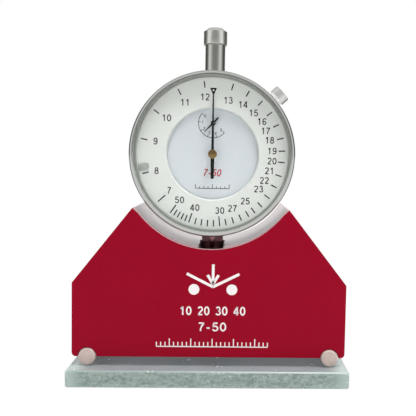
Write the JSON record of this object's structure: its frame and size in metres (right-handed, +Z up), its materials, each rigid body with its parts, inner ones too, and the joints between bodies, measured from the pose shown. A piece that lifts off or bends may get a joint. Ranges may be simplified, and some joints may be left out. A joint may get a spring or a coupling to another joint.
{
  "type": "screen mesh tension meter",
  "caption": "Dial tension meter for stretched screen mesh: two red plates with sloping shoulders on rods, a sprung foot between them, a dial indicator above and a glass block for zeroing.",
  "frame": {"origin": "centre of the zeroing glass underside", "axes": "+X to the right along the plates, -Y towards the dial side, +Z up along the indicator stem"},
  "size_m": [0.098, 0.044, 0.1273],
  "materials": {
    "red_paint": "deep red satin paint",
    "grey_body": "pale grey anodised, satin",
    "chrome": "polished chrome",
    "satin_metal": "satin chrome, fine turning marks",
    "steel": "ground steel",
    "brass": "machined brass",
    "pale_rod": "matte, pale beige",
    "glass": "greenish glass, ground edges",
    "crystal": "clear window",
    "silvered": "matte silvered scale with black lines and numbers",
    "pale_blue": "matte pale blue dial paint",
    "black_paint": "matte black"
  },
  "bodies": {
    "zero_plate": {"zero_glass": "glass"},
    "foot": {"measuring_foot": "pale_rod", "foot_plunger": "steel", "foot_spring": "steel", "spindle": "steel", "contact_point": "steel", "spindle_pin": "steel"},
    "meter": {"body_block": "grey_body", "front_plate": "red_paint", "back_plate": "red_paint", "back_screw_1": "steel", "back_screw_2": "steel", "back_screw_3": "steel", "back_screw_4": "steel", "support_rod_left": "pale_rod", "support_rod_right": "pale_rod", "base_cover": "steel", "base_screw_left": "steel", "base_screw_right": "steel", "stem_bush": "steel", "stem_set_screw": "steel", "foot_guide_bush": "brass", "indicator_case": "satin_metal", "case_back": "satin_metal", "indicator_stem": "chrome", "upper_sleeve": "satin_metal", "sleeve_cap": "satin_metal", "inner_dial": "pale_blue", "movement_plate": "brass", "movement_screw_1": "steel", "movement_screw_2": "steel", "movement_screw_3": "steel", "bridge": "brass", "pillar_1": "brass", "pillar_2": "brass", "pillar_3": "brass", "arbor_cock": "brass", "guide_fork": "brass", "return_spring": "steel", "spring_post": "steel", "hairspring_stud": "brass"},
    "bezel_ring": {"bezel": "satin_metal", "crystal": "crystal", "scale_ring": "silvered", "scale_retainer": "steel"},
    "first_wheel": {"rack_pinion": "steel", "first_arbor": "steel", "first_gear": "brass"},
    "pointer_wheel": {"centre_arbor": "steel", "pointer": "black_paint", "pointer_hub": "brass"},
    "counter_wheel": {"counter_arbor": "steel", "counter_gear": "brass", "counter_hand": "black_paint", "hairspring": "steel"},
    "clamp_shoe": {"clamp_shoe": "steel"},
    "clamp_screw": {"clamp_screw": "satin_metal"}
  },
  "joints": [
    {"name": "lift_off", "type": "slide", "parent": "zero_plate", "child": "foot", "axis": [0, 0, 1], "range_m": [0, 0.05]},
    {"name": "foot_stroke", "type": "slide", "parent": "foot", "child": "meter", "axis": [0, 0, 1], "range_m": [0, 0.0024], "stiffness_N_per_m": 300, "springref_m": 0.007, "deforming": ["foot_spring", "return_spring"]},
    {"name": "first_turn", "type": "hinge", "parent": "meter", "child": "first_wheel", "pos_m": [-0.00391, 0, 0.07056], "axis": [0, 1, 0], "range_deg": [0, 86.5]},
    {"name": "pointer_turn", "type": "hinge", "parent": "meter", "child": "pointer_wheel", "pos_m": [0, 0, 0.0808], "axis": [0, 1, 0], "range_deg": [-865, 0]},
    {"name": "counter_turn", "type": "hinge", "parent": "meter", "child": "counter_wheel", "pos_m": [0, 0, 0.09176], "axis": [0, 1, 0], "range_deg": [0, 86.5], "deforming": ["hairspring"]},
    {"name": "bezel_turn", "type": "hinge", "parent": "meter", "child": "bezel_ring", "pos_m": [0, 0, 0.0808], "axis": [0, 1, 0], "continuous": true},
    {"name": "clamp_travel", "type": "slide", "parent": "meter", "child": "clamp_shoe", "axis": [0.7361, 0, 0.6769], "range_m": [0, 0.00025]},
    {"name": "clamp_turn", "type": "hinge", "parent": "clamp_shoe", "child": "clamp_screw", "pos_m": [0.02208, -0.0046, 0.10111], "axis": [0.7361, 0, 0.6769], "range_deg": [0, 180.5]}
  ],
  "couplings": [
    {"joint": "first_turn", "follows": "foot_stroke", "rad_per_m": 628.32},
    {"joint": "pointer_turn", "follows": "foot_stroke", "rad_per_m": -6283.2},
    {"joint": "counter_turn", "follows": "foot_stroke", "rad_per_m": 628.32},
    {"joint": "clamp_turn", "follows": "clamp_travel", "rad_per_m": 12566}
  ]
}
